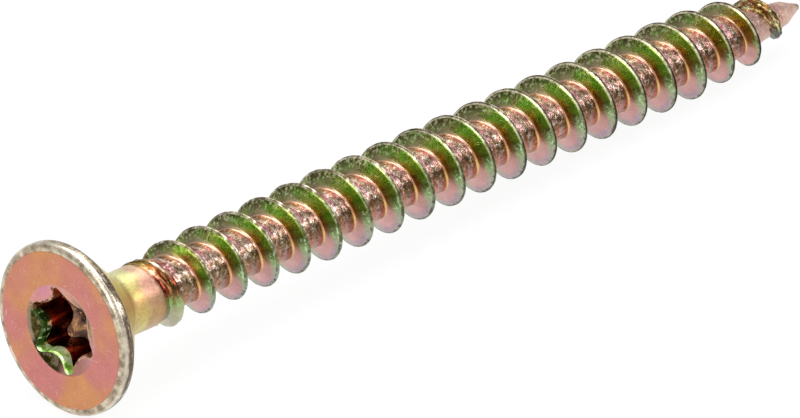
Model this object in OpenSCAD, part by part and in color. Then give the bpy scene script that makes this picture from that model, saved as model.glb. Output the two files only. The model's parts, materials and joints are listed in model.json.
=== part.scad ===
// Multi-purpose screw with a countersunk head, a six-lobe drive and a coarse
// single-start thread, cold-headed and thread-rolled from one piece of wire.
// It lies as it comes to rest on a table: on the rear edge of its rim and on
// one of its crests, with the point toward +X.

/* [Whole screw] */
// Length from the face of the head to the end of the point
length = 48.2; // [38:0.2:70]

/* [Head] */
// Diameter of the head over its rim
head_d = 8.25; // [7.4:0.05:9]
// Depth from the face to where the countersink starts
rim_h = 0.58; // [0.5:0.01:0.9]
// Width of the rounded shoulder around the flat face
shoulder_w = 0.36; // [0.2:0.02:0.6]
// Depth of that shoulder
shoulder_h = 0.28; // [0.15:0.01:0.35]
// Radius on the rear edge of the rim
rear_edge_r = 0.15; // [0.05:0.01:0.2]
// Angle of the countersink, measured across it
sink_angle = 90; // [80:1:100]
// Radius where the countersink runs into the neck
neck_fillet_r = 0.6; // [0.3:0.1:1]

/* [Drive recess] */
// Diameter over the points of the six-lobe star
star_d = 3.95; // [3.7:0.05:4.1]
// Diameter between the star's opposite flutes
star_root_d = 2.85; // [2.75:0.05:2.95]
// Radius on the point of each lobe
lobe_r = 0.3; // [0.26:0.01:0.34]
// Depth of the star's upright walls
star_wall_h = 1.9; // [1.4:0.1:2.1]
// Angle of the cone that closes the bottom of the recess
star_floor_angle = 130; // [120:5:150]
// Diameter of the dished mouth of the recess
mouth_d = 4.4; // [4.2:0.05:4.6]
// Angle of that dish, measured across it
mouth_angle = 140; // [120:5:145]
// Turn of the star about the screw
star_turn = 45; // [0:1:59]

/* [Shank] */
// Diameter of the plain neck, which is the wire before rolling
neck_d = 3.06; // [2.8:0.02:3.4]
// Distance from the face of the head to the end of the neck
neck_end = 4.9; // [4.7:0.1:6]
// Length of the cone from the neck down to the core
neck_cone_len = 0.6; // [0.3:0.1:1]
// Diameter of the core between the turns of the thread
core_d = 2.44; // [2.2:0.02:2.7]

/* [Thread] */
// Diameter over the full crests
thread_d = 4.06; // [3.8:0.02:4.5]
// Length that the thread advances in one turn
pitch_len = 2; // [1.6:0.05:2.4]
// Width of the rolled crest on the first turns
crest_w = 0.12; // [0.08:0.02:0.2]
// Width of the crest once it is at its broadest, toward the point
broad_crest_w = 0.16; // [0.12:0.02:0.28]
// Distance from the tip from which it is that broad
broad_len = 14; // [10:1:20]
// Lean of each flank from square to the axis
flank_lean = 20; // [15:1:25]
// Height of the flare where the flanks run into the core
root_flare = 0.12; // [0.06:0.02:0.16]
// Turn of the thread about the screw
thread_turn = 209; // [0:1:359]
// Distance from the face at which the thread comes out of the neck
thread_start = 4.55; // [4.2:0.05:4.7]
// Turns over which it grows out of the neck
grow_turns = 1; // [0.8:0.1:1.6]
// Diameter over the crest after those turns
first_crest_d = 3.78; // [3.6:0.02:3.8]
// Distance from the face at which the crests are full
full_from = 16.5; // [10:0.5:20]
// Distance from the tip at which the crests start to come down
narrow_len = 7.4; // [6:0.2:9]
// Distance from the tip at which they come down faster
nose_len = 3.9; // [3.5:0.1:4.5]
// Diameter over the crests there
nose_crest_d = 3.32; // [3.2:0.02:3.6]
// Distance of the last crest from the tip
last_len = 1.95; // [1.9:0.05:2.3]
// Diameter over the last crest
last_crest_d = 1.92; // [1.86:0.02:2.1]
// Length of bare point ahead of the thread
bare_len = 1.7; // [1.5:0.1:1.8]

/* [Point] */
// Angle of the long taper ahead of the full core, measured across it
taper_angle = 17; // [14:1:22]
// Length of the short point at the end of the taper
point_len = 1.1; // [0.9:0.1:1.2]
// Angle of that point, measured across it
point_angle = 46; // [40:1:50]
// Diameter of the blunt end of the point
tip_d = 0.32; // [0.2:0.02:0.4]
// Height of the rounding on that end
tip_h = 0.12; // [0.08:0.02:0.16]

/* [Hidden] */
head_r = head_d / 2;
neck_r = neck_d / 2;
core_r = core_d / 2;
thread_r = thread_d / 2;
tip_r = tip_d / 2;
shaft_fn = 96;
shoulder_steps = 6;
edge_steps = 3;
fillet_steps = 5;
star_steps = 6;
zinc_yellow = [0.72, 0.58, 0.42];

// Points along an arc, or along a part of an ellipse with half-axes rx and ry
function arc(centre, rx, ry, from, to, steps) =
    [for (i = [0:steps]) let(a = from + (to - from) * i / steps)
        [centre[0] + rx * cos(a), centre[1] + ry * sin(a)]];

// Blank: head and neck as one outline, radius against depth from the face.
// The cone behind the neck carries on into the threaded core.
sink_lean = sink_angle / 2;
sink_end = rim_h + (head_r - neck_r) / tan(sink_lean);
rear_edge_z = rim_h - rear_edge_r * tan((90 - sink_lean) / 2);
fillet_z = sink_end + neck_fillet_r * tan(sink_lean / 2);
stub_r = core_r / 2;
stub_end = neck_end + neck_cone_len * (neck_r - stub_r) / (neck_r - core_r);
shoulder = arc([head_r - shoulder_w, shoulder_h], shoulder_w, shoulder_h, -90, 0,
    shoulder_steps);

module blank() {
    rotate_extrude($fn = shaft_fn)
        polygon(concat(
            [[0, 0]],
            shoulder,
            arc([head_r - rear_edge_r, rear_edge_z], rear_edge_r, rear_edge_r,
                0, sink_lean, edge_steps),
            arc([neck_r + neck_fillet_r, fillet_z], neck_fillet_r, neck_fillet_r,
                180 + sink_lean, 180, fillet_steps),
            [[neck_r, neck_end], [stub_r, stub_end], [0, stub_end]]));
}

// Six-lobe star in closed form: the flute arcs run into the lobe arcs
lobe_at = star_d / 2 - lobe_r;
root_at = star_root_d / 2;
flute_r = (pow(lobe_r, 2) - pow(lobe_at, 2) - pow(root_at, 2) + 2 * lobe_at * root_at * cos(30))
    / (2 * (root_at - lobe_at * cos(30) - lobe_r));
flute_at = root_at + flute_r;
lobe_half = atan2(flute_at * sin(30), flute_at * cos(30) - lobe_at);
flute_half = lobe_half - 30;

module star() {
    polygon([for (k = [0:5]) each concat(
        arc([lobe_at * cos(60 * k), lobe_at * sin(60 * k)], lobe_r, lobe_r,
            60 * k - lobe_half, 60 * k + lobe_half, star_steps),
        arc([flute_at * cos(60 * k + 30), flute_at * sin(60 * k + 30)], flute_r, flute_r,
            60 * k + 210 + flute_half, 60 * k + 210 - flute_half, star_steps))]);
}

// Punch for the drive: star walls, a cone below them and a dish above
punch_over = 0.5;
star_floor_h = star_d / 2 / tan(star_floor_angle / 2);
dish_past_flutes = 0.12;
dish_h = (mouth_d - star_root_d) / 2 / tan(mouth_angle / 2) + dish_past_flutes;
dish_low_r = mouth_d / 2 - dish_h * tan(mouth_angle / 2);

module drive_punch() {
    rotate([0, 0, star_turn]) intersection() {
        translate([0, 0, -punch_over])
            linear_extrude(height = punch_over + star_wall_h + star_floor_h) star();
        rotate_extrude($fn = shaft_fn)
            polygon([[0, -punch_over], [star_d, -punch_over], [star_d, star_wall_h],
                     [star_d / 2, star_wall_h], [0, star_wall_h + star_floor_h]]);
    }
    cylinder(h = dish_h, r1 = mouth_d / 2, r2 = dish_low_r, $fn = shaft_fn);
}

// Thread: the core with its ridge, swept along a right-handed helix. A ring of
// six points lies across the ridge at each step, and the core between two
// turns reaches from a ring to the one a turn later. The first turn is buried
// in the neck.
thread_end = length - bare_len;
tip_start = length - tip_h;
point_start = length - point_len;
point_r = tip_r + (point_len - tip_h) * tan(point_angle / 2);
taper_start = point_start - (core_r - point_r) / tan(taper_angle / 2);
buried_h = 0.1;
come_out_h = 0.05;
come_out_turns = 0.08;
last_h = 0.03;
flare_slope = 0.75;
corners = 6;
tip_steps = 4;
turn_steps = 30;
last_ring = turn_steps + floor((thread_end - thread_start) / pitch_len * turn_steps);

// Radius of the core, and radius of the crest, at depth z
function core(z) = lookup(z, [[taper_start, core_r], [point_start, point_r], [tip_start, tip_r]]);
function crest(z) = lookup(z, [
    [thread_start, neck_r - buried_h],
    [thread_start + come_out_turns * pitch_len, neck_r + come_out_h],
    [thread_start + grow_turns * pitch_len, first_crest_d / 2],
    [full_from, thread_r],
    [length - narrow_len, thread_r],
    [length - nose_len, nose_crest_d / 2],
    [length - last_len, last_crest_d / 2],
    [thread_end, core(thread_end) + last_h]]);

// Width of the crest at depth z
function crest_width(z) =
    lookup(z, [[full_from, crest_w], [length - broad_len, broad_crest_w]]);

// Ring across the ridge at depth z, from the head's side over the crest to the
// point's side: radius and place along the axis
function section(z) =
    let(top = crest(z),
        flare = core(z) + min(root_flare, (top - core(z)) / 2),
        top_w = crest_width(z) / 2,
        flare_w = top_w + (top - flare) * tan(flank_lean),
        base_w = flare_w + (flare - core(z)) * flare_slope)
    [[core(z - base_w), -base_w], [flare, -flare_w], [top, -top_w],
     [top, top_w], [flare, flare_w], [core(z + base_w), base_w]];

function ring_z(i) = thread_start + pitch_len * (i / turn_steps - 1);
function ring_turn(i) = thread_turn + 360 * i / turn_steps;
function around(r, i, z) = [r * cos(ring_turn(i)), r * sin(ring_turn(i)), z];

// Circles of the point: where it starts, and then over its rounded end
point_curve = concat([[point_r, point_start]], arc([0, tip_start], tip_r, tip_h, 0, 90, tip_steps));
point_circles = len(point_curve) - 1;

// Places in the list of points: point j of ring i, the start on the axis, step
// k on circle m of the point, and the very tip
start = (last_ring + 1) * corners;
tip = start + 1 + point_circles * turn_steps;
function at(i, j) = i * corners + j;
function on_point(m, k) = start + 1 + m * turn_steps + k % turn_steps;

// The two triangles of a four-sided face
function quad(a, b, c, d) = [[a, b, c], [a, c, d]];

module thread() {
    rings = [for (i = [0:last_ring]) for (p = section(ring_z(i))) around(p[0], i, ring_z(i) + p[1])];
    circles = [for (m = [0:point_circles - 1]) for (k = [0:turn_steps - 1])
        around(point_curve[m][0], last_ring + k, point_curve[m][1])];
    ridge = [for (i = [0:last_ring - 1]) for (j = [0:corners - 2])
        each quad(at(i, j), at(i, j + 1), at(i + 1, j + 1), at(i + 1, j))];
    between = [for (i = [0:last_ring - turn_steps - 1])
        each quad(at(i, 5), at(i + turn_steps, 0), at(i + turn_steps + 1, 0), at(i + 1, 5))];
    start_wall = concat(
        quad(at(0, 5), at(0, 4), at(0, 1), at(0, 0)),
        quad(at(0, 4), at(0, 3), at(0, 2), at(0, 1)),
        [[at(0, 5), at(0, 0), start], [at(turn_steps, 0), at(0, 5), start]],
        [for (i = [0:turn_steps - 1]) [at(i, 0), at(i + 1, 0), start]]);
    n = last_ring;
    behind = n - turn_steps;
    end_wall = concat(
        quad(at(n, 0), at(n, 1), at(n, 4), at(n, 5)),
        quad(at(n, 1), at(n, 2), at(n, 3), at(n, 4)),
        [[at(behind + 1, 5), at(behind, 5), at(n, 0)], [at(behind + 1, 5), at(n, 0), at(n, 5)],
         [at(behind + 1, 5), at(n, 5), on_point(0, 0)],
         [at(behind + 1, 5), on_point(0, 0), on_point(0, 1)]]);
    point = concat(
        [for (k = [1:turn_steps - 1])
            each quad(at(behind + k + 1, 5), at(behind + k, 5), on_point(0, k), on_point(0, k + 1))],
        [for (m = [0:point_circles - 2]) for (k = [0:turn_steps - 1])
            each quad(on_point(m, k + 1), on_point(m, k), on_point(m + 1, k), on_point(m + 1, k + 1))],
        [for (k = [0:turn_steps - 1])
            [on_point(point_circles - 1, k + 1), on_point(point_circles - 1, k), tip]]);
    polyhedron(points = concat(rings, [[0, 0, ring_z(0)]], circles, [[0, 0, length]]),
               faces = concat(ridge, between, start_wall, end_wall, point), convexity = 10);
}

// Rest: the axis dips toward the point until the rim and one crest touch the
// table. A crest that faces the table at depth z asks for a dip of its own,
// and the smallest of those is where the screw stops.
function dip_for(z) =
    let(run = z - rear_edge_z, drop = head_r - rear_edge_r - crest(z))
    atan2(drop, run) + asin(rear_edge_r / norm([run, drop]));
down_first = thread_start + pitch_len * (180 - thread_turn) / 360 + pitch_len;
dip = min([for (z = [down_first:pitch_len:thread_end]) dip_for(z)]);
axis_h = rear_edge_z * sin(dip) + (head_r - rear_edge_r) * cos(dip) + rear_edge_r;
head_x = min([for (p = shoulder) p[1] * cos(dip) - p[0] * sin(dip)]);
middle_x = (head_x + length * cos(dip)) / 2;

module screw() {
    color(zinc_yellow)
        translate([-middle_x, 0, axis_h]) rotate([0, 90 + dip, 0]) rotate([0, 0, 180])
            difference() {
                union() {
                    blank();
                    thread();
                }
                drive_punch();
            }
}

screw();
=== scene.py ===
import json
import math

import bmesh
import bpy
import numpy as np
from mathutils import Matrix, Vector, noise


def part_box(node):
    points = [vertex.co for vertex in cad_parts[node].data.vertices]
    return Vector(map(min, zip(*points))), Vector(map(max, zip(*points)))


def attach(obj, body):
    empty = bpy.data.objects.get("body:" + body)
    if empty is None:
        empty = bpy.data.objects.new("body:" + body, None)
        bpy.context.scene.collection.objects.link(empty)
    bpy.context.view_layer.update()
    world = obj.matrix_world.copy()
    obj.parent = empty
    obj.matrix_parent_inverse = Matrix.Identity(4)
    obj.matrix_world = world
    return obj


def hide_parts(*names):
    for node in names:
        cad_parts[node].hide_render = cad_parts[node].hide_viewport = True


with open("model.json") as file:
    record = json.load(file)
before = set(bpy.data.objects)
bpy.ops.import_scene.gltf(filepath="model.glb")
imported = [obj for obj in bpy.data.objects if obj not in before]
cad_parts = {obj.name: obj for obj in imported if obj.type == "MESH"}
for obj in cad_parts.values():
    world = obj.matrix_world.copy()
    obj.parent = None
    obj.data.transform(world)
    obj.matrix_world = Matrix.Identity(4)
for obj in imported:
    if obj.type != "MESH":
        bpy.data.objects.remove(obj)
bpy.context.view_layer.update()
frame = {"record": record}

# The head: a disc upset from the end of the wire in one blow, flat on top with a
# rounded shoulder, and countersunk below where it runs into the plain neck.
# Steel, zinc-plated and yellow-passivated; the film on the flat face is pink.
mounts = {m["name"]: m for m in frame["record"]["mounts"]}
head_at = Vector(mounts["drive_recess"]["pos_m"])
axis = -Vector(mounts["drive_recess"]["axis"]).normalized()
upward = (Vector((0, 0, 1)) - axis * axis.z).normalized()
sideways = axis.cross(upward)
lowest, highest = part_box("screw")

# Screw millimetres: x up, y to the side that faces the camera, z along the axis
from_screw = (Matrix.Translation(head_at)
              @ Matrix((upward, sideways, axis)).transposed().to_4x4()
              @ Matrix.Scale(0.001, 4))

head_r = (highest[1] - lowest[1]) / 2 * 1000
shoulder_w, shoulder_h = 0.36, 0.28
face_r = head_r - shoulder_w
sink_lean = math.radians(45)
rear_edge_r = 0.15
rim_h = 0.58
rear_edge_z = rim_h - rear_edge_r * math.tan(sink_lean / 2)
neck_r = 1.53
neck_fillet_r = 0.6
sink_end = rim_h + (head_r - neck_r) / math.tan(sink_lean)
neck_joint = 4.2

# The drive recess is punched into the head in the same blow: a six-lobe star with
# upright walls, a conical floor and a dished mouth that leads the bit in
star_turn = 45
star_r, star_root_r, lobe_r = 1.975, 1.425, 0.3
star_wall_h, floor_rise = 1.9, 1 / math.tan(math.radians(65))
mouth_r, dish_rise = 2.2, 1 / math.tan(math.radians(70))
wall_edge_r, drag_h = 0.14, 0.3
# The mouth's edge is eased, and the die leaves a fine line round the flat face
ease_in_w, ease_out_w, ease_h = 0.03, 0.035, 0.005
die_line_w, die_line_h = 0.045, 0.012
lobe_at = star_r - lobe_r
half_pitch = math.radians(30)
flute_r = ((lobe_r ** 2 - lobe_at ** 2 - star_root_r ** 2
            + 2 * lobe_at * star_root_r * math.cos(half_pitch))
           / (2 * (star_root_r - lobe_at * math.cos(half_pitch) - lobe_r)))
flute_at = star_root_r + flute_r
lobe_half = math.atan2(flute_at * math.sin(half_pitch), flute_at * math.cos(half_pitch) - lobe_at)
lobe_ends = math.atan2(lobe_r * math.sin(lobe_half), lobe_at + lobe_r * math.cos(lobe_half))


def star_edge(turns):
    """Radius of the star's outline at each turn about the axis."""
    off = np.radians(np.abs((np.degrees(turns) - star_turn + 30) % 60 - 30))
    rest = half_pitch - off
    lobe = lobe_at * np.cos(off) + np.sqrt(np.maximum(lobe_r ** 2 - (lobe_at * np.sin(off)) ** 2, 0))
    flute = flute_at * np.cos(rest) - np.sqrt(np.maximum(flute_r ** 2 - (flute_at * np.sin(rest)) ** 2, 0))
    return np.where(off < lobe_ends, lobe, flute)


def wrinkle(points, size, stretch=1.0):
    """Noise from -1 to 1 at each point, with features of that size in millimetres."""
    return np.array([noise.noise(Vector((p[0] / size, p[1] / size, p[2] / size / stretch))) for p in points])


def solid(name, points, faces, zones, finishes):
    """One closed piece from points in screw millimetres, with a finish for each zone of faces."""
    mesh = bpy.data.meshes.new(name)
    mesh.from_pydata([tuple(p) for p in points], [], [tuple(f) for f in faces])
    for finish in finishes:
        mesh.materials.append(finish)
    mesh.polygons.foreach_set("material_index", np.asarray(zones, dtype=np.int32))
    mesh.transform(from_screw)
    form = bmesh.new()
    form.from_mesh(mesh)
    bmesh.ops.remove_doubles(form, verts=form.verts, dist=2e-7)
    bmesh.ops.recalc_face_normals(form, faces=form.faces)
    form.to_mesh(mesh)
    form.free()
    mesh.shade_smooth()
    mesh.set_sharp_from_angle(angle=math.radians(38))
    piece = bpy.data.objects.new(name, mesh)
    bpy.context.scene.collection.objects.link(piece)
    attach(piece, "root")
    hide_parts("screw")


def tone(red, green, blue):
    """A colour as it looks, from 0 to 255, as the linear colour that a shader takes."""
    parts = [c / 255 for c in (red, green, blue)]
    return tuple(c / 12.92 if c <= 0.04045 else ((c + 0.055) / 1.055) ** 2.4 for c in parts) + (1.0,)


def add(tree, kind, inputs=None, **settings):
    """A shader node with its inputs set or linked by name or number."""
    made = tree.nodes.new("ShaderNode" + kind)
    for key, value in settings.items():
        setattr(made, key, value)
    for key, value in (inputs or {}).items():
        if isinstance(value, bpy.types.NodeSocket):
            tree.links.new(value, made.inputs[key])
        else:
            made.inputs[key].default_value = value
    return made


def sums(tree, operation, a, b=0.0, c=0.0):
    """One step of arithmetic on values, named as the Math node names it."""
    return add(tree, "Math", {0: a, 1: b, 2: c}, operation=operation).outputs[0]


def times(tree, a, b):
    """The product of two masks or values."""
    return sums(tree, "MULTIPLY", a, b)


def grain(tree, where, scale, detail, roughness=0.5):
    """Noise over a place, mostly from 0.3 to 0.7."""
    return add(tree, "TexNoise", {"Vector": where, "Scale": scale, "Detail": detail,
                                  "Roughness": roughness}).outputs["Fac"]


def steps(tree, value, *stops):
    """Colours along a value from 0 to 1: each stop is a value and a colour as it looks."""
    made = add(tree, "ValToRGB", {"Fac": value})
    while len(made.color_ramp.elements) < len(stops):
        made.color_ramp.elements.new(0.5)
    for element, (at, *colour) in zip(made.color_ramp.elements, stops):
        element.position = at
        element.color = tone(*colour)
    return made.outputs["Color"]


def ease(tree, value, low, high):
    """0 below low, 1 above high, and a smooth rise between them."""
    return add(tree, "MapRange", {"Value": value, "From Min": low, "From Max": high},
               interpolation_type="SMOOTHSTEP").outputs["Result"]


def blend(tree, factor, a, b):
    """Colour a where the factor is 0, and b where it is 1."""
    return add(tree, "MixRGB", {"Fac": factor, "Color1": a, "Color2": b}).outputs["Color"]


# Where a point lies on the screw: its place in screw millimetres, how far along
# and out from the axis it is, and how far round from the line that faces up and
# back, because the film has the same colours on both sides of that line
place = bpy.data.node_groups.new("Place on the screw", "ShaderNodeTree")
for label, kind in (("Screw mm", "NodeSocketVector"), ("Along", "NodeSocketFloat"),
                    ("Out", "NodeSocketFloat"), ("Round", "NodeSocketFloat"), ("Turn", "NodeSocketFloat")):
    place.interface.new_socket(label, in_out="OUTPUT", socket_type=kind)
here = add(place, "TexCoord").outputs["Object"]
here = add(place, "VectorMath", {0: here, 1: head_at}, operation="SUBTRACT").outputs["Vector"]
here = add(place, "VectorMath", {0: here, "Scale": 1000.0}, operation="SCALE").outputs["Vector"]
up_mm, side_mm, along_mm = (
    add(place, "VectorMath", {0: here, 1: way}, operation="DOT_PRODUCT").outputs["Value"]
    for way in (upward, sideways, axis))
out_mm = sums(place, "MULTIPLY_ADD", up_mm, up_mm, times(place, side_mm, side_mm))
out_mm = sums(place, "SQRT", out_mm)
film_line = math.radians(-38)
toward = times(place, side_mm, math.sin(film_line))
toward = sums(place, "MULTIPLY_ADD", up_mm, math.cos(film_line), toward)
toward = sums(place, "DIVIDE", toward, sums(place, "MAXIMUM", out_mm, 1e-4))
given = add(place, "CombineXYZ", {0: up_mm, 1: side_mm, 2: along_mm})
end = place.nodes.new("NodeGroupOutput")
for label, value in (("Screw mm", given.outputs["Vector"]), ("Along", along_mm), ("Out", out_mm),
                     ("Round", sums(place, "DIVIDE", sums(place, "ARCCOSINE", toward), math.pi)),
                     ("Turn", sums(place, "ARCTAN2", side_mm, up_mm))):
    place.links.new(value, end.inputs[label])

# The film on the zinc is never even: soft clouds, pale specks where it is thin,
# dark pits, and fine scratches from tumbling among thousands of other screws
film = bpy.data.node_groups.new("Passivated film", "ShaderNodeTree")
for label, kind, value in (("Color", "NodeSocketColor", (0.6, 0.5, 0.4, 1)),
                           ("Screw mm", "NodeSocketVector", (0, 0, 0)),
                           ("Clouds", "NodeSocketFloat", 0.15), ("Specks", "NodeSocketFloat", 0.4),
                           ("Pits", "NodeSocketFloat", 0.4), ("Scratches", "NodeSocketFloat", 0.3),
                           ("Roughness", "NodeSocketFloat", 0.3)):
    film.interface.new_socket(label, in_out="INPUT", socket_type=kind).default_value = value
for label, kind in (("Color", "NodeSocketColor"), ("Roughness", "NodeSocketFloat"),
                    ("Height", "NodeSocketFloat")):
    film.interface.new_socket(label, in_out="OUTPUT", socket_type=kind)
given = film.nodes.new("NodeGroupInput").outputs
where = given["Screw mm"]
cloud = grain(film, where, 1.1, 3.0)
fine = grain(film, where, 9.0, 4.0, 0.65)
speck = grain(film, where, 16.0, 2.0)
pit = add(film, "TexVoronoi", {"Vector": where, "Scale": 4.0}).outputs["Distance"]
one_way = add(film, "Mapping", {"Vector": where, "Rotation": (0.4, 0.9, 0.6), "Scale": (1.2, 14.0, 1.2)})
other_way = add(film, "Mapping", {"Vector": where, "Rotation": (1.1, 0.2, 2.0), "Scale": (13.0, 1.0, 1.4)})
scratch = sums(film, "MAXIMUM",
               ease(film, grain(film, one_way.outputs[0], 1.6, 1.0), 0.71, 0.76),
               ease(film, grain(film, other_way.outputs[0], 1.4, 1.0), 0.72, 0.77))
lift = sums(film, "SUBTRACT", sums(film, "ADD", cloud, fine), 1.0)
lift = times(film, lift, given["Clouds"])
colour = add(film, "HueSaturation", {"Hue": sums(film, "MULTIPLY_ADD", lift, 0.12, 0.5),
                                     "Value": sums(film, "MULTIPLY_ADD", lift, 2.2, 1.0),
                                     "Color": given["Color"]}).outputs["Color"]
pale = times(film, ease(film, speck, 0.62, 0.74), given["Specks"])
colour = blend(film, pale, colour, tone(238, 226, 205))
dark = times(film, ease(film, pit, 0.14, 0.05), given["Pits"])
colour = blend(film, dark, colour, tone(92, 70, 52))
colour = blend(film, times(film, scratch, given["Scratches"]), colour, tone(240, 226, 206))
rough = sums(film, "MULTIPLY_ADD", sums(film, "SUBTRACT", fine, 0.5), 0.35, given["Roughness"])
height = sums(film, "MULTIPLY_ADD", fine, 0.5, times(film, speck, 0.3))
sunk = sums(film, "MULTIPLY_ADD", dark, 1.2, times(film, scratch, 0.4))
end = film.nodes.new("NodeGroupOutput")
for label, value in (("Color", colour), ("Roughness", sums(film, "MAXIMUM", rough, 0.08)),
                     ("Height", sums(film, "SUBTRACT", height, sunk))):
    film.links.new(value, end.inputs[label])


def plated(name, colour_of, bump=0.5, grain_of=None, metal=1.0, **amounts):
    """Plated steel with the film's grain as bump, and the colours that colour_of gives."""
    made = bpy.data.materials.new(name)
    made.use_nodes = True
    tree = made.node_tree
    steel = tree.nodes["Principled BSDF"]
    steel.inputs["Metallic"].default_value = metal
    at = add(tree, "Group", node_tree=place).outputs
    coat = add(tree, "Group", {"Color": colour_of(tree, at), "Screw mm": at["Screw mm"], **amounts},
               node_tree=film)
    height = coat.outputs["Height"]
    if grain_of:
        height = sums(tree, "ADD", height, grain_of(tree, at))
    tree.links.new(coat.outputs["Color"], steel.inputs["Base Color"])
    tree.links.new(coat.outputs["Roughness"], steel.inputs["Roughness"])
    rise = add(tree, "Bump", {"Strength": bump, "Distance": 0.00002, "Height": height})
    tree.links.new(rise.outputs["Normal"], steel.inputs["Normal"])
    return made


def around_screw(tree, at, middle, half):
    """1 at one turn about the axis, in degrees, and 0 farther than half from it."""
    apart = sums(tree, "SUBTRACT", at["Turn"], math.radians(middle))
    return ease(tree, sums(tree, "COSINE", apart),
                math.cos(math.radians(half)), math.cos(math.radians(half * 0.7)))


def face_colour(tree, at):
    """Salmon pink, turning ochre in broad patches, with a thin dark line at its edge."""
    patches = grain(tree, at["Screw mm"], 0.33, 1.5)
    colour = steps(tree, patches, (0.36, 202, 124, 124), (0.5, 200, 128, 116), (0.6, 206, 142, 98))
    upper = times(tree, ease(tree, at["Round"], 0.55, 0.05), 0.4)
    colour = blend(tree, upper, colour, tone(204, 140, 96))
    line = times(tree, ease(tree, at["Out"], face_r - 0.05, face_r - 0.01), 0.55)
    return blend(tree, line, colour, tone(110, 84, 66))


def rim_colour(tree, at):
    """Champagne and grey, with a painted highlight in a band round the shoulder and painted shade in dark
    streaks on one side.
    """
    patches = grain(tree, at["Screw mm"], 2.2, 4.0)
    colour = steps(tree, patches, (0.34, 140, 124, 104), (0.5, 186, 170, 144), (0.64, 216, 204, 182))
    # A pale band round the shoulder: painted highlight
    painted_highlight = times(tree, ease(tree, at["Along"], 0.05, 0.14), ease(tree, at["Along"], 0.34, 0.22))
    colour = blend(tree, times(tree, painted_highlight, 0.5), colour, tone(232, 226, 208))
    streaks = add(tree, "Mapping", {"Vector": at["Screw mm"], "Scale": (1.0, 1.0, 7.0)}).outputs[0]
    streaks = grain(tree, streaks, 1.6, 4.0)
    # Dark streaks on one side, about turn 80: painted shade
    shade_streaks = times(tree, around_screw(tree, at, 80, 70), ease(tree, at["Along"], 0.16, 0.34))
    shade_streaks = times(tree, shade_streaks, ease(tree, streaks, 0.36, 0.5))
    return blend(tree, times(tree, shade_streaks, 0.85), colour, tone(84, 70, 58))


def dish_colour(tree, at):
    """Mauve to salmon, but a painted reflection in dark green and brown where it faces the lobes at the lower
    left.
    """
    colour = steps(tree, at["Round"], (0.0, 206, 136, 150), (0.3, 214, 156, 130), (0.6, 208, 154, 128),
                   (0.72, 206, 138, 140), (1.0, 160, 110, 96))
    patches = grain(tree, at["Screw mm"], 2.6, 3.0)
    # Dark green and brown at the lower left: a painted reflection of something dark
    low = steps(tree, patches, (0.4, 50, 42, 16), (0.52, 78, 72, 34), (0.66, 140, 124, 96))
    colour = blend(tree, around_screw(tree, at, -128, 62), colour, low)
    streak = times(tree, around_screw(tree, at, -98, 30),
                   ease(tree, at["Out"], mouth_r - 0.26, mouth_r - 0.14))
    return blend(tree, times(tree, streak, 0.8), colour, tone(160, 140, 118))


def mint_reflection(tree, patches):
    """Mint green with white glints: a painted reflection of the bright sky on the metal."""
    return steps(tree, patches, (0.36, 124, 170, 62), (0.48, 186, 232, 118), (0.6, 230, 250, 196))


def edge_colour(tree, at):
    """Bright mint where the rounded edge of the lower walls catches the light, and dark green with a white
    glint on the left, both painted reflections; else red-brown.
    """
    patches = grain(tree, at["Screw mm"], 3.4, 2.0)
    dull = steps(tree, patches, (0.4, 96, 48, 28), (0.6, 190, 140, 116))
    colour = blend(tree, around_screw(tree, at, -165, 44), dull, mint_reflection(tree, patches))
    # Dark green with a white glint on the left: painted reflection
    green = steps(tree, patches, (0.4, 30, 52, 10), (0.56, 62, 104, 22), (0.66, 226, 240, 206))
    return blend(tree, around_screw(tree, at, -108, 32), colour, green)


def drive_colour(tree, at):
    """Deep red-brown on the floor, purple-grey on its outer part at the lower left, and on the lower walls
    painted reflections in green and mint.
    """
    patches = grain(tree, at["Screw mm"], 1.7, 2.0)
    wall = steps(tree, patches, (0.35, 112, 60, 42), (0.5, 140, 78, 56), (0.64, 164, 126, 108))
    # Green on the lower left wall: painted reflection
    green = times(tree, around_screw(tree, at, -108, 38), ease(tree, at["Along"], 0.95, 0.6))
    wall = blend(tree, green, wall, tone(84, 128, 36))
    # A mint streak on the lower wall: painted reflection
    mint = times(tree, around_screw(tree, at, -176, 24), ease(tree, at["Along"], 0.62, 0.5))
    wall = blend(tree, mint, wall, mint_reflection(tree, patches))
    floor = steps(tree, patches, (0.36, 112, 60, 42), (0.5, 136, 66, 46), (0.62, 206, 76, 54))
    far = times(tree, around_screw(tree, at, -128, 48), ease(tree, at["Out"], 0.7, 0.85))
    purple = steps(tree, patches, (0.4, 66, 42, 34), (0.5, 100, 74, 64), (0.6, 130, 96, 78),
                   (0.68, 200, 150, 100))
    floor = blend(tree, far, floor, purple)
    spots = grain(tree, at["Screw mm"], 3.6, 1.0)
    floor = blend(tree, ease(tree, spots, 0.64, 0.7), floor, tone(190, 150, 84))
    return blend(tree, ease(tree, at["Along"], 1.7, 2.1), wall, floor)


def neck_colour(tree, at):
    """Pale yellow-green above, ochre below, and pinkish where the dies begin to press it."""
    colour = steps(tree, at["Round"], (0.0, 226, 226, 184), (0.28, 222, 216, 152), (0.4, 212, 196, 124),
                   (0.55, 200, 160, 108), (0.7, 196, 174, 108), (1.0, 208, 200, 150))
    patches = grain(tree, at["Screw mm"], 1.5, 3.0)
    rolled = ease(tree, sums(tree, "MULTIPLY_ADD", patches, 1.2, at["Along"]), 4.4, 5.1)
    pressed = steps(tree, at["Round"], (0.0, 214, 196, 166), (0.25, 222, 180, 150), (0.4, 208, 156, 138),
                    (0.58, 180, 140, 112), (0.75, 176, 140, 96), (0.9, 184, 156, 128))
    colour = blend(tree, rolled, colour, pressed)
    under_head = times(tree, ease(tree, at["Along"], 3.5, 2.8), 0.35)
    return blend(tree, under_head, colour, tone(206, 184, 108))


turns = np.radians(np.arange(360))
star = star_edge(turns)
rings = []


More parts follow.
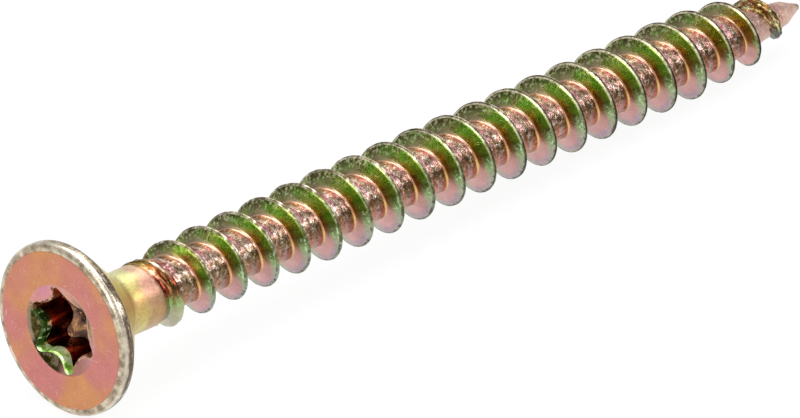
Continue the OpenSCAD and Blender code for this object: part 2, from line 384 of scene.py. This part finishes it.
def ring(radius, depth, zone):
    """The next circle of points, and the zone of the band that ends there."""
    rings.append((np.broadcast_to(radius, turns.shape), np.broadcast_to(depth, turns.shape), zone))


def dish_depth(radius):
    """How far the dished mouth lies below the face."""
    return (mouth_r - radius) * dish_rise


DRIVE, DISH, FACE, RIM, SINK, EDGE = range(6)
for part in np.linspace(0, 1, 9):
    ring(star * part, star_wall_h + (star_r - star * part) * floor_rise, DRIVE)
wall_foot = star_wall_h + (star_r - star) * floor_rise
edge_out = star + wall_edge_r
# The punch drags the metal down with it on the lower side, so the edge is deeper there
dragged = np.clip(1 - np.abs((np.degrees(turns) - 220 + 180) % 360 - 180) / 66, 0, 1)
edge_deep = wall_edge_r + drag_h * dragged ** 0.3
wall_top = dish_depth(edge_out) + edge_deep
for part in np.linspace(0, 1, 10)[1:]:
    ring(star, wall_foot + (wall_top - wall_foot) * part, DRIVE)
for lean in np.radians([15, 30, 45, 60, 75, 90]):
    ring(edge_out - wall_edge_r * math.cos(lean), wall_top - edge_deep * math.sin(lean), EDGE)
for part in np.linspace(0, 1, 6)[1:]:
    dish_r = edge_out + (mouth_r - ease_in_w - edge_out) * part
    ring(dish_r, dish_depth(dish_r), DISH)
ring(mouth_r + 0.002, ease_h, FACE)
flat_start, flat_end = mouth_r + ease_out_w, face_r - die_line_w
ring(flat_start, 0.0, FACE)
for part in np.linspace(0, 1, 12)[1:]:
    ring(flat_start + (flat_end - flat_start) * part, 0.0, FACE)
ring(face_r - die_line_w * 2 / 3, die_line_h / 2, FACE)
ring(face_r - die_line_w / 3, die_line_h, FACE)
ring(face_r + die_line_w / 4.5, die_line_h * 2 / 3, RIM)
for part in np.linspace(0, 1, 12)[1:]:
    lean = math.radians(-88 + 88 * part)
    ring(face_r + (head_r - face_r) * math.cos(lean), shoulder_h + shoulder_h * math.sin(lean), RIM)
for part in (0.5, 1):
    ring(head_r, shoulder_h + (rear_edge_z - shoulder_h) * part, RIM)
for lean in np.linspace(0, sink_lean, 4)[1:]:
    ring(head_r - rear_edge_r + rear_edge_r * math.cos(lean), rear_edge_z + rear_edge_r * math.sin(lean), RIM)
cone_top_r, cone_top_z = rings[-1][0][0], rings[-1][1][0]
fillet_z = sink_end + neck_fillet_r * math.tan(sink_lean / 2)
cone_end_r = neck_r + neck_fillet_r * (1 - math.cos(sink_lean))
cone_end_z = fillet_z - neck_fillet_r * math.sin(sink_lean)
for part in np.linspace(0, 1, 10)[1:]:
    ring(cone_top_r + (cone_end_r - cone_top_r) * part, cone_top_z + (cone_end_z - cone_top_z) * part, SINK)
for lean in np.linspace(sink_lean, 0, 7)[1:]:
    ring(neck_r + neck_fillet_r * (1 - math.cos(lean)), fillet_z - neck_fillet_r * math.sin(lean), SINK)
for part in np.linspace(0, 1, 4)[1:]:
    ring(neck_r, fillet_z + (neck_joint - fillet_z) * part, SINK)
ring(0, neck_joint, SINK)

points, faces, zones = [], [], []
for radius, depth, _ in rings:
    points += list(zip(radius * np.cos(turns), radius * np.sin(turns), depth))
around = len(turns)
for i in range(1, len(rings)):
    for k in range(around):
        a, b = (i - 1) * around + k, (i - 1) * around + (k + 1) % around
        faces.append((a, b, b + around, a + around))
        low_edge = rings[i][2] == DRIVE and rings[i + 1][2] == EDGE and dragged[k] > 0.05
        zones.append(EDGE if low_edge else rings[i][2])
points = np.array(points)
# The press leaves the rim a little uneven, which shows where it catches the light
out = np.hypot(points[:, 0], points[:, 1])
rim_dent = 0.0018
on_rim = np.clip((out - face_r) / 0.2, 0, 1) * (points[:, 2] < rim_h + 0.5)
points[:, :2] *= (1 - on_rim * rim_dent * (1 + wrinkle(points, 0.5)))[:, None]

neck_film = {"bump": 0.5, "Clouds": 0.35, "Specks": 0.3, "Pits": 0.35, "Scratches": 0.3, "Roughness": 0.42}
solid("screw_head", points, faces, zones, [
    plated("Passivated drive walls", drive_colour,
           bump=0.8, Clouds=0.5, Specks=0.2, Pits=0.3, Scratches=0.15, Roughness=0.16),
    plated("Passivated dish", dish_colour,
           bump=0.3, Clouds=0.2, Specks=0.2, Pits=0.2, Scratches=0.2, Roughness=0.2),
    plated("Passivated face", face_colour,
           bump=0.35, Clouds=0.12, Specks=0.3, Pits=0.45, Scratches=0.55, Roughness=0.3),
    plated("Rim with painted highlight and shade", rim_colour,
           bump=0.8, Clouds=0.25, Specks=0.5, Pits=0.4, Scratches=0.3, Roughness=0.28),
    plated("Passivated countersink and neck", neck_colour, **neck_film),
    plated("Rounded drive edge", edge_colour,
           metal=0.5, bump=0.5, Clouds=0.3, Specks=0.2, Pits=0.2, Scratches=0.1, Roughness=0.2),
])

# The threaded shank, of the same wire: flat dies roll a thin right-handed ridge out of
# it, from the neck to just short of the point. The ridge's flat crest folds into a seam
# toward the point, and the metal is crumpled where the dies run in and out.
length = 48.2
core_r, thread_r = 1.22, 2.03
pitch, thread_turn = 2.0, math.radians(209)
thread_start, thread_end = 4.55, length - 1.7
crest_full_z, crest_fall_z = 16.5, length - 7.4
crest_w, broad_crest_w = 0.12, 0.16
root_flare, flare_slope = 0.12, 0.75
flank_slope = math.tan(math.radians(20))
seam_h, bevel_h, lead_in_h = 0.05, 0.1, 0.13
run_in_turns, run_out_turns = 1.25, 1.05
tip_r, tip_h = 0.16, 0.12
tip_start = length - tip_h
point_start = length - 1.1
point_r = tip_r + (tip_start - point_start) * math.tan(math.radians(23))
taper_start = point_start - (core_r - point_r) / math.tan(math.radians(8.5))
per_turn = 120
last = round((thread_end - thread_start) / pitch * per_turn)

ring_no = np.arange(last + 1)
ring_z = thread_start + pitch * ring_no / per_turn
ring_turn = thread_turn + 2 * math.pi * ring_no / per_turn
turn_no = ring_no / per_turn


def smooth(value, low, high):
    """0 below low, 1 above high, and a smooth rise between them, as ease does in a shader."""
    part = np.clip((value - low) / (high - low), 0, 1)
    return part * part * (3 - 2 * part)


def core_at(z):
    """Radius of the core, which tapers to the point."""
    return np.interp(z, [taper_start, point_start, tip_start], [core_r, point_r, tip_r])


def land(turn, part, z):
    """Radius of the core between two turns: neck metal that the dies press down to the core."""
    pressed = smooth(turn, 0.0, 0.55)
    lead_in = lead_in_h * smooth(turn, -0.95, -0.4) * smooth(part, 0.5, 0.95) * (1 - pressed)
    return core_at(z) + (neck_r - core_r) * (1 - pressed) - lead_in


# The crest grows out of the neck in two steps, stays full, and falls over the taper
crest_path = ((thread_start, neck_r), (5.2, 1.6), (6.3, 1.88), (crest_full_z, thread_r),
              (crest_fall_z, thread_r), (length - 3.9, 1.66), (length - 1.95, 0.96),
              (thread_end, core_at(thread_end) + 0.12))
crest = np.interp(ring_z, *zip(*crest_path))
ends = smooth(turn_no, 0.0, 0.2) * smooth(turn_no[-1] - turn_no, 0.0, 0.05)
# It is still broad where the ridge comes out of the neck, and again on the last turn
broad = 1 + 2.4 * smooth(turn_no, 1.5, 0.4) + 0.9 * smooth(turn_no, turn_no[-1] - 1.1, turn_no[-1] - 0.3)
crest_half = np.interp(ring_z, [crest_full_z, length - 14], [crest_w, broad_crest_w]) / 2 * broad * ends
left_r = land(turn_no - 1, 1.0, ring_z)
right_r = land(turn_no, 0.0, ring_z)
left_r[-1] = right_r[-1] = core_at(thread_end)
below = np.maximum(left_r, right_r)
crest = below + (np.maximum(crest, below + 0.02) - below) * ends
seam = seam_h * smooth(ring_z, 20, 34) * ends
bevel = bevel_h * ends


def across(low, side):
    """Ridge points from the crest's shoulder down to the core on one side: out and along."""
    tall = crest - low
    flare = np.minimum(root_flare, tall / 2)
    shoulder = np.minimum(bevel, (tall - flare) / 2)
    out, along = [], []
    for part in (0.0, 0.14, 0.38, 0.64, 0.84, 1.0):
        down = shoulder + (tall - flare - shoulder) * part
        out.append(crest - down)
        along.append(crest_half + flank_slope * down)
    foot = crest_half + flank_slope * (tall - flare)
    for part in (0.4, 0.75, 1.0):
        out.append(low + flare * (1 - part) ** 1.6)
        along.append(foot + flare * flare_slope * part * ends)
    return np.array(out), side * np.array(along)


left_out, left_along = across(left_r, -1)
right_out, right_along = across(right_r, 1)
shoulder_out = [crest - bevel * 0.62, crest - bevel * 0.3, crest - bevel * 0.07]
top_out = shoulder_out + [crest, crest - seam, crest] + shoulder_out[::-1]
top_along = [crest_half * part for part in (-0.98, -0.82, -0.6, -0.25, 0.0, 0.25, 0.6, 0.82, 0.98)]
ridge_out = np.vstack([left_out[::-1], top_out, right_out])
ridge_z = ring_z + np.vstack([left_along[::-1], top_along, right_along])
ridge_out[:, -1], ridge_z[:, -1] = core_at(thread_end), thread_end
side_points, all_points = len(left_out), len(ridge_out)

# The core between two turns, from the foot of one to the foot of the next
land_parts = np.array([0.14, 0.28, 0.42, 0.56, 0.7, 0.84, 0.955])
next_z = np.full(last + 1, thread_end)
next_z[:-per_turn] = ridge_z[0, per_turn:]
land_z = np.array([ridge_z[-1] + (next_z - ridge_z[-1]) * part for part in land_parts])
land_out = np.array([land(turn_no, part, z) for part, z in zip(land_parts, land_z)])
first_z = ridge_z[0, :per_turn + 1]
lead_z = np.array([thread_start + (first_z - thread_start) * part for part in land_parts])
lead_out = np.array([land(turn_no[:per_turn + 1] - 1, part, z) for part, z in zip(land_parts, lead_z)])

NECK, RUN_IN, CORE, NEAR_FLANK, CREST, FAR_FLANK, RUN_OUT, POINT, ROOT = range(9)
points, faces, zones = [], [], []


def helix(out, z, turn):
    """Adds points column by column, and returns their numbers in the same layout."""
    start = len(points)
    points.extend(zip((out * np.cos(turn)).ravel(), (out * np.sin(turn)).ravel(), z.ravel()))
    return start + np.arange(out.size).reshape(out.shape)


def net(grid, zone_of):
    """Faces between neighbouring points of a grid of point numbers."""
    for row in range(grid.shape[0] - 1):
        for col in range(grid.shape[1] - 1):
            faces.append((grid[row, col], grid[row + 1, col], grid[row + 1, col + 1], grid[row, col + 1]))
            zones.append(zone_of(row, col))


def ridge_zone(row, col):
    """The finish of a face of the ridge."""
    if col < run_in_turns * per_turn:
        return RUN_IN
    if col > last - run_out_turns * per_turn:
        return RUN_OUT
    if row < 2:
        return ROOT
    if row < side_points - 1:
        return NEAR_FLANK
    if row < all_points - side_points:
        return CREST
    return FAR_FLANK


def land_zone(row, col):
    """The finish of a face of the core between two turns."""
    if col < 0.15 * per_turn:
        return NECK
    return ROOT if row == len(land_parts) else CORE


one_turn = np.ones((1, per_turn + 1))
ridge = helix(ridge_out, ridge_z, ring_turn[None, :])
between = helix(land_out, land_z, ring_turn[None, :])
net(ridge, ridge_zone)
after = np.empty(last + 1, dtype=int)
after[:-per_turn] = ridge[0, per_turn:]
joint = helix(core_at(thread_end) * one_turn, thread_end * one_turn, ring_turn[None, -per_turn - 1:])
after[-per_turn - 1:] = joint[0]
net(np.vstack([ridge[-1:], between, after[None, :]]), land_zone)

neck_rows = np.array([[neck_joint], [neck_joint + 0.15], [thread_start]])
neck = helix(np.array([[0.0], [neck_r], [neck_r], [neck_r]]) * one_turn,
             np.vstack([[[neck_joint]], neck_rows]) * one_turn, ring_turn[None, :per_turn + 1])
net(neck, lambda row, col: NECK)
lead = helix(lead_out, lead_z, ring_turn[None, :per_turn + 1])
net(np.vstack([neck[-1:], lead, ridge[:1, :per_turn + 1]]),
    lambda row, col: RUN_IN if row > 4 and col > 0.2 * per_turn else NECK)

# The bare point, pinched off blunt by the dies
cone_z = np.linspace(thread_end, tip_start, 14)
tip_leans = np.radians([20, 40, 60, 78, 90])
bare_z = np.concatenate([cone_z, tip_start + tip_h * np.sin(tip_leans)])
bare_out = np.concatenate([core_at(cone_z), tip_r * np.cos(tip_leans)])
bare_out[-1] = 0
bare = helix(bare_out[:, None] * one_turn, bare_z[:, None] * one_turn, ring_turn[None, -per_turn - 1:])
net(bare, lambda row, col: POINT)

# Rolled metal is never true: the crest is nicked, the core is crinkled, and the
# metal folds where the dies run in and out
points = np.array(points)
out, z = np.hypot(points[:, 0], points[:, 1]), points[:, 2].copy()
tall = np.clip((out - core_r - 0.15) / 0.6, 0, 1)
run_in = smooth(z, 4.7, 5.2) * (1 - smooth(z, 6.4, 7.6))
run_out = smooth(z, length - 5, length - 3.2) * (1 - smooth(z, length - 1.2, length - 1.0))
fade = smooth(z, neck_joint + 0.05, neck_joint + 0.5)
swell = 0.008 * wrinkle(points, 0.9) + 0.006 * wrinkle(points + 7.0, 0.22)
folds = 0.05 * wrinkle(points + 3.0, 0.3, 0.7) + 0.03 * wrinkle(points + 11.0, 0.14)
at_crest = smooth(out, thread_r - 0.3, thread_r - 0.02)
nicks = 0.03 * np.clip(wrinkle(points + 5.0, 0.33) - 0.25, 0, 1) * at_crest
move = fade * (swell - nicks) + folds * (run_in * 0.8 + run_out * 0.7) * smooth(out, 0.3, 0.9)
move = np.minimum(move, np.maximum(thread_r - out, 0.0))
points[:, :2] *= (1 + move / np.maximum(out, 0.05))[:, None]
lean_over = 0.012 * fade * tall * wrinkle(points + 17.0, 1.3)
points[:, 2] += lean_over + 0.03 * run_out * wrinkle(points + 23.0, 0.3)

# Where a point lies on the thread: how far along it is from the nearest crest line,
# below zero toward the head, and how high it is from the core to the full crest
lay = bpy.data.node_groups.new("Place on the thread", "ShaderNodeTree")
for label in ("Along", "Turn", "Out"):
    lay.interface.new_socket(label, in_out="INPUT", socket_type="NodeSocketFloat")
for label in ("Off crest", "High"):
    lay.interface.new_socket(label, in_out="OUTPUT", socket_type="NodeSocketFloat")
given = lay.nodes.new("NodeGroupInput").outputs
crest_start = thread_start / pitch - thread_turn / (2 * math.pi)
part = sums(lay, "SUBTRACT", sums(lay, "DIVIDE", given["Along"], pitch),
            sums(lay, "DIVIDE", given["Turn"], 2 * math.pi))
part = sums(lay, "FRACT", sums(lay, "SUBTRACT", part, crest_start - 0.5))
risen = sums(lay, "DIVIDE", sums(lay, "SUBTRACT", given["Out"], core_r), thread_r - core_r)
end = lay.nodes.new("NodeGroupOutput")
lay.links.new(times(lay, sums(lay, "SUBTRACT", part, 0.5), pitch), end.inputs["Off crest"])
lay.links.new(risen, end.inputs["High"])


def on_thread(tree, at):
    """The outputs of the place on the thread."""
    return add(tree, "Group", {label: at[label] for label in ("Along", "Turn", "Out")}, node_tree=lay).outputs


def above_most(tree, at, rise, least):
    """A share that grows by rise from the lower side of the screw to the upper one."""
    return sums(tree, "MULTIPLY_ADD", ease(tree, at["Round"], 0.66, 0.5), rise, least)


def core_colour(tree, at):
    """Grey-pink with an olive patch round its middle, and redder close to the next turn, with painted white
    glints on the crinkles and painted shade in their hollows.
    """
    crinkle = grain(tree, at["Screw mm"], 5.0, 4.0, 0.7)
    behind = steps(tree, at["Round"], (0.1, 240, 212, 200), (0.24, 200, 168, 160), (0.36, 146, 116, 104),
                   (0.44, 190, 172, 152), (0.5, 88, 76, 54), (0.58, 92, 74, 48), (0.66, 120, 96, 78),
                   (0.8, 186, 154, 153), (0.92, 186, 155, 140))
    ahead = steps(tree, at["Round"], (0.1, 240, 174, 134), (0.24, 144, 78, 76), (0.34, 184, 108, 122),
                  (0.46, 216, 158, 160), (0.54, 166, 122, 108), (0.62, 136, 92, 58),
                  (0.7, 150, 98, 76), (0.8, 192, 122, 98), (0.92, 198, 134, 96))
    colour = blend(tree, ease(tree, on_thread(tree, at)["Off crest"], -0.95, -0.6), behind, ahead)
    olive = times(tree, ease(tree, at["Along"], 20.0, 9.0), ease(tree, at["Round"], 0.2, 0.4))
    colour = blend(tree, times(tree, olive, 0.4), colour, tone(142, 126, 94))
    # White glints on the crinkles: painted highlights
    sparkle_glints = times(tree, ease(tree, crinkle, 0.54, 0.64), ease(tree, at["Round"], 0.85, 0.5))
    colour = blend(tree, times(tree, sparkle_glints, 0.75), colour, tone(248, 236, 230))
    # Dark where the crinkles are low, more so round the middle: painted shade in the crinkle hollows
    middle = times(tree, ease(tree, at["Round"], 0.34, 0.5), ease(tree, at["Round"], 0.76, 0.62))
    crinkle_shade = sums(tree, "ADD", sums(tree, "SUBTRACT", 0.47, crinkle), times(tree, middle, 0.04))
    colour = blend(tree, times(tree, ease(tree, crinkle_shade, 0.0, 0.1), 0.8), colour, tone(74, 58, 36))
    matte = times(tree, ease(tree, at["Along"], 42.8, 44.2), 0.72)
    return blend(tree, matte, colour, tone(208, 168, 156))


def high_flank_colour(tree, at, cloud, mottle):
    """Green clouds and a dark and pale mottle above, a dark green band painted as a reflection, and mint
    glints painted as highlights on the lower side.
    """
    # The dark green near Round 0.6 is a painted reflection
    colour = steps(tree, at["Round"], (0.0, 120, 116, 78), (0.15, 140, 142, 88), (0.28, 162, 182, 96),
                   (0.5, 170, 192, 88), (0.6, 84, 102, 34), (0.7, 148, 174, 114), (0.8, 172, 168, 150),
                   (0.9, 178, 154, 162))
    high = on_thread(tree, at)["High"]
    green = times(tree, ease(tree, at["Round"], -0.1, 0.22), ease(tree, at["Round"], 0.64, 0.5))
    green = times(tree, green, ease(tree, cloud, 0.4, 0.6))
    colour = blend(tree, times(tree, green, 0.7), colour, tone(112, 172, 54))
    above = times(tree, ease(tree, high, 0.35, 0.75), ease(tree, at["Round"], 0.52, 0.12))
    dark = times(tree, ease(tree, mottle, 0.54, 0.46), sums(tree, "MULTIPLY_ADD", above, 0.7, 0.12))
    colour = blend(tree, dark, colour, tone(58, 46, 26))
    pale = times(tree, ease(tree, mottle, 0.55, 0.61), ease(tree, at["Round"], 0.4, 0.16))
    colour = blend(tree, times(tree, pale, 0.6), colour, tone(210, 204, 178))
    # Mint glints: painted highlights
    glint = times(tree, ease(tree, at["Round"], 0.58, 0.64), ease(tree, at["Round"], 0.76, 0.7))
    glint = times(tree, glint, times(tree, ease(tree, high, 0.4, 0.6), ease(tree, mottle, 0.5, 0.6)))
    return blend(tree, times(tree, glint, 0.7), colour, tone(206, 240, 190))


def flank_colour(tree, at):
    """Green above a red-brown root, then pink on the lower side, and gold toward the point."""
    low = steps(tree, at["Round"], (0.0, 136, 120, 94), (0.2, 180, 170, 124), (0.3, 162, 144, 108),
                (0.4, 168, 130, 74), (0.5, 164, 112, 56), (0.6, 114, 74, 28), (0.68, 140, 98, 58),
                (0.78, 190, 144, 134), (0.95, 202, 152, 150))
    cloud = grain(tree, at["Screw mm"], 1.6, 2.0)
    mottle = grain(tree, at["Screw mm"], 6.0, 3.0, 0.6)
    high = on_thread(tree, at)["High"]
    # The low colour turns into the high one a third of the way up, and later on the lower side
    border = sums(tree, "MULTIPLY_ADD", ease(tree, at["Round"], 0.64, 0.84), 0.3, 0.28)
    past = sums(tree, "SUBTRACT", sums(tree, "MULTIPLY_ADD", cloud, 0.4, high), border)
    colour = blend(tree, ease(tree, past, 0.07, 0.33), low, high_flank_colour(tree, at, cloud, mottle))
    gold = times(tree, ease(tree, at["Along"], 37.5, 42.5), ease(tree, at["Round"], 0.7, 0.55))
    gold = times(tree, gold, ease(tree, at["Round"], 0.1, 0.36))
    colour = blend(tree, times(tree, gold, 0.65), colour, tone(150, 122, 46))
    # A pale lip along the crest, strongest on the upper side: painted highlight
    lip_highlight = times(tree, ease(tree, high, 0.84, 0.9), ease(tree, at["Along"], 14.0, 26.0))
    lip_highlight = times(tree, lip_highlight, times(tree, above_most(tree, at, 0.7, 0.1), ease(tree, mottle, 0.36, 0.46)))
    return blend(tree, lip_highlight, colour, tone(220, 212, 184))


def root_colour(tree, at):
    """Cream to orange along the foot of the ridge: a painted highlight on its curved flare."""
    return steps(tree, at["Round"], (0.0, 190, 160, 132), (0.12, 196, 158, 130), (0.25, 204, 158, 142),
                 (0.4, 208, 156, 142), (0.5, 214, 158, 140), (0.6, 176, 124, 84), (0.7, 226, 182, 112),
                 (0.8, 226, 178, 134), (0.97, 190, 148, 112))


def crest_colour(tree, at):
    """Champagne and cream, slate below, with painted highlights in pale specks on the upper side, dark
    specks, and painted shade in the seam.
    """
    off = on_thread(tree, at)["Off crest"]
    near = steps(tree, at["Round"], (0.0, 130, 124, 100), (0.18, 174, 166, 138), (0.34, 138, 128, 96),
                 (0.5, 146, 146, 116), (0.6, 96, 92, 60), (0.7, 128, 140, 100), (0.8, 148, 160, 136),
                 (1.0, 142, 140, 134))
    far = steps(tree, at["Round"], (0.1, 190, 176, 152), (0.3, 222, 198, 168), (0.45, 226, 208, 186),
                (0.6, 166, 154, 132), (0.72, 88, 92, 84), (1.0, 80, 88, 86))
    colour = blend(tree, ease(tree, off, -0.01, 0.05), near, far)
    nick = grain(tree, at["Screw mm"], 4.2, 4.0)
    # Pale specks, more on the upper side: painted highlights
    painted_highlight = times(tree, ease(tree, nick, 0.54, 0.62), above_most(tree, at, 0.5, 0.15))
    colour = blend(tree, painted_highlight, colour, tone(248, 242, 226))
    colour = blend(tree, times(tree, ease(tree, nick, 0.48, 0.4), 0.75), colour, tone(80, 72, 46))
    # Toward the point the crest folds into a seam: a painted highlight along its pale lip, strongest on the
    # upper side, and painted shade in the seam behind it
    lip_highlight = times(tree, ease(tree, off, -0.05, -0.075), ease(tree, at["Along"], 14.0, 26.0))
    lip_highlight = times(tree, lip_highlight, above_most(tree, at, 0.75, 0.1))
    lip_highlight = times(tree, lip_highlight, sums(tree, "MULTIPLY_ADD", ease(tree, nick, 0.4, 0.52), 0.6, 0.4))
    colour = blend(tree, lip_highlight, colour, tone(226, 216, 184))
    # Dark in the seam: painted shade
    seam_at = ease(tree, sums(tree, "ABSOLUTE", sums(tree, "ADD", off, 0.03)), 0.045, 0.022)
    seam_shade = times(tree, ease(tree, at["Along"], 14.0, 30.0), seam_at)
    return blend(tree, times(tree, seam_shade, 0.9), colour, tone(50, 44, 28))


def along_folds(tree, at, size):
    """Noise drawn out along the thread, as the dies draw the metal."""
    drawn = add(tree, "CombineXYZ", {0: times(tree, at["Turn"], 0.7),
                                     1: times(tree, on_thread(tree, at)["Off crest"], 2.6),
                                     2: times(tree, at["Out"], 2.6)}).outputs[0]
    return add(tree, "TexNoise", {"Vector": drawn, "Scale": size, "Detail": 4.0, "Roughness": 0.6,
                                  "Distortion": 0.5}).outputs["Fac"]


def fold_colour(tree, at):
    """Copper, red and gold where the metal is folded, in streaks that run from painted shade in dark hollows
    to painted cream highlights on the crests.
    """
    fold = along_folds(tree, at, 2.0)
    # The dark end of these colours is painted shade and the cream end painted highlight
    colour = steps(tree, fold, (0.37, 48, 34, 16), (0.44, 112, 52, 30), (0.5, 178, 86, 60),
                   (0.56, 206, 150, 120), (0.63, 240, 222, 196))
    top = steps(tree, fold, (0.4, 80, 70, 26), (0.52, 158, 130, 70), (0.62, 206, 180, 120))
    colour = blend(tree, times(tree, ease(tree, at["Round"], 0.34, 0.16), 0.85), colour, top)
    off = on_thread(tree, at)["Off crest"]
    edge = times(tree, ease(tree, off, -0.26, -0.18), ease(tree, off, -0.02, -0.1))
    colour = blend(tree, times(tree, edge, 0.7), colour, tone(62, 54, 20))
    low = steps(tree, at["Round"], (0.5, 190, 120, 84), (0.68, 150, 176, 110), (0.8, 176, 178, 140),
                (1.0, 176, 170, 150))
    return blend(tree, ease(tree, at["Round"], 0.56, 0.72), colour, low)


def last_fold_colour(tree, at):
    """Brown, olive and cream flakes on the last turns, and a dark knob where they end."""
    flakes = along_folds(tree, at, 2.4)
    colour = steps(tree, flakes, (0.36, 44, 34, 16), (0.45, 98, 76, 36), (0.52, 140, 122, 70),
                   (0.57, 214, 206, 160), (0.66, 240, 236, 206))
    copper = grain(tree, at["Screw mm"], 2.4, 2.0)
    colour = blend(tree, times(tree, ease(tree, copper, 0.57, 0.63), 0.6), colour, tone(140, 76, 44))
    return blend(tree, ease(tree, at["Round"], 0.64, 0.8), colour, tone(92, 94, 84))


def point_colour(tree, at):
    """Pale pink, and greyer at the very end."""
    patches = grain(tree, at["Screw mm"], 1.8, 3.0)
    colour = steps(tree, patches, (0.36, 196, 158, 142), (0.6, 218, 186, 172))
    grey = times(tree, ease(tree, at["Along"], length - 0.5, length - 0.1), 0.5)
    return blend(tree, grey, colour, tone(120, 112, 108))


def crinkled(tree, at):
    """The height of the small crinkles that the dies leave in the metal."""
    return grain(tree, at["Screw mm"], 5.0, 5.0, 0.7)


flank_film = {"bump": 0.4, "Clouds": 0.25, "Specks": 0.15, "Pits": 0.2, "Scratches": 0.2, "Roughness": 0.24}
solid("screw_thread", points, faces, zones, [
    plated("Passivated neck end", neck_colour, **neck_film),
    plated("Folded run-in", fold_colour,
           grain_of=crinkled, bump=0.9, Clouds=0.3, Specks=0.3, Pits=0.3, Scratches=0.2, Roughness=0.2),
    plated("Crinkled core", core_colour,
           grain_of=crinkled, bump=0.9, Clouds=0.3, Specks=0.4, Pits=0.3, Scratches=0.3, Roughness=0.22),
    plated("Passivated flank", flank_colour, **flank_film),
    plated("Crest with painted highlights", crest_colour,
           bump=0.6, Clouds=0.2, Specks=0.3, Pits=0.2, Scratches=0.2, Roughness=0.36),
    plated("Passivated far flank", flank_colour, **flank_film),
    plated("Folded run-out", last_fold_colour,
           grain_of=crinkled, bump=0.9, Clouds=0.3, Specks=0.4, Pits=0.3, Scratches=0.2, Roughness=0.22),
    plated("Pinched point", point_colour,
           bump=0.5, Clouds=0.2, Specks=0.2, Pits=0.3, Scratches=0.3, Roughness=0.42),
    plated("Root with painted highlight", root_colour,
           bump=0.4, Clouds=0.2, Specks=0.2, Pits=0.1, Scratches=0.1, Roughness=0.24),
])

# The table: a matt white sheet of board that the screw lies on. It is white to the
# camera and in the metal, and keeps the screw's soft shadow
table_half_m, table_glow = 3, 0.92
table = bpy.data.meshes.new("table")
corners = [(x * table_half_m, y * table_half_m, 0) for x, y in ((-1, -1), (1, -1), (1, 1), (-1, 1))]
table.from_pydata(corners, [], [(0, 1, 2, 3)])
table_top = bpy.data.objects.new("table", table)
bpy.context.scene.collection.objects.link(table_top)
sheet = bpy.data.materials.new("White sheet")
sheet.use_nodes = True
tree = sheet.node_tree
cover = tree.nodes["Principled BSDF"]
cover.inputs["Base Color"].default_value = (0.86, 0.86, 0.86, 1)
cover.inputs["Roughness"].default_value = 0.9
glow = add(tree, "Emission", {"Color": (1, 1, 1, 1), "Strength": 1.0})
ray = add(tree, "LightPath").outputs
seen = sums(tree, "ADD", ray["Is Glossy Ray"], ray["Is Transmission Ray"])
seen = sums(tree, "MINIMUM", sums(tree, "ADD", ray["Is Camera Ray"], seen), 1.0)
mixed = add(tree, "MixShader", {0: times(tree, seen, table_glow)})
tree.links.new(cover.outputs["BSDF"], mixed.inputs[1])
tree.links.new(glow.outputs["Emission"], mixed.inputs[2])
tree.links.new(mixed.outputs["Shader"], tree.nodes["Material Output"].inputs["Surface"])
table.materials.append(sheet)

# The camera: far off with a long lens, up to the left of the head and looking down
# along the screw toward its point
turn, tilt, roll = math.radians(-45.273), math.radians(29.91), math.radians(0.16)
right_m, above_m, back_m = 0.015219, 0.005459, 0.69914
focal_px, picture_px = 15596, 800
right = Vector((math.cos(turn), math.sin(turn), 0))
back = Vector((math.sin(turn) * math.cos(tilt), -math.cos(turn) * math.cos(tilt), math.sin(tilt)))
above = back.cross(right)
right, above = (right * math.cos(roll) - above * math.sin(roll),
                above * math.cos(roll) + right * math.sin(roll))
camera_data = bpy.data.cameras.new("camera")
camera_data.sensor_width = 36
camera_data.lens = focal_px / picture_px * camera_data.sensor_width
camera_data.clip_start, camera_data.clip_end = 0.05, 20
camera = bpy.data.objects.new("camera", camera_data)
camera.matrix_world = (Matrix.Translation(head_at + right * right_m + above * above_m + back * back_m)
                       @ Matrix((right, above, back)).transposed().to_4x4())
bpy.context.scene.collection.objects.link(camera)
bpy.context.scene.camera = camera


# The light: white cloth softboxes above and to the sides of the table, in a white
# room that the metal mirrors as pale grey
def softbox(name, place_at, size, power):
    """A lamp as large as its cloth front, in metres, facing the screw."""
    lamp = bpy.data.lights.new(name, "AREA")
    lamp.shape = "RECTANGLE"
    lamp.size, lamp.size_y = size
    lamp.energy = power
    box = bpy.data.objects.new(name, lamp)
    box.location = place_at
    box.rotation_euler = (-Vector(place_at)).to_track_quat("-Z", "Y").to_euler()
    bpy.context.scene.collection.objects.link(box)


softbox("softbox_above", (0.05, 0.1, 0.5), (0.5, 0.5), 3.0)
softbox("softbox_left", (-0.45, -0.1, 0.25), (0.2, 0.3), 1.0)
softbox("softbox_front", (0.25, -0.45, 0.3), (0.3, 0.15), 1.0)

room = bpy.data.worlds.new("room")
room.use_nodes = True
bpy.context.scene.world = room
tree = room.node_tree
view = add(tree, "TexCoord").outputs["Generated"]
level = add(tree, "SeparateXYZ", {0: view}).outputs["Z"]
wall = add(tree, "MapRange", {"Value": level, "From Min": -0.2, "From Max": 0.4,
                              "To Min": 0.55, "To Max": 0.6}).outputs["Result"]
ceiling = add(tree, "MapRange", {"Value": level, "From Min": 0.4, "From Max": 1.0,
                                 "To Min": 0.0, "To Max": 0.3}).outputs["Result"]
lit = sums(tree, "ADD", wall, ceiling)
shown = blend(tree, add(tree, "LightPath").outputs["Is Camera Ray"], lit, (1, 1, 1, 1))
tree.links.new(shown, tree.nodes["Background"].inputs["Color"])
tree.nodes["Background"].inputs["Strength"].default_value = 1.0

bpy.context.scene.view_settings.view_transform = "Standard"
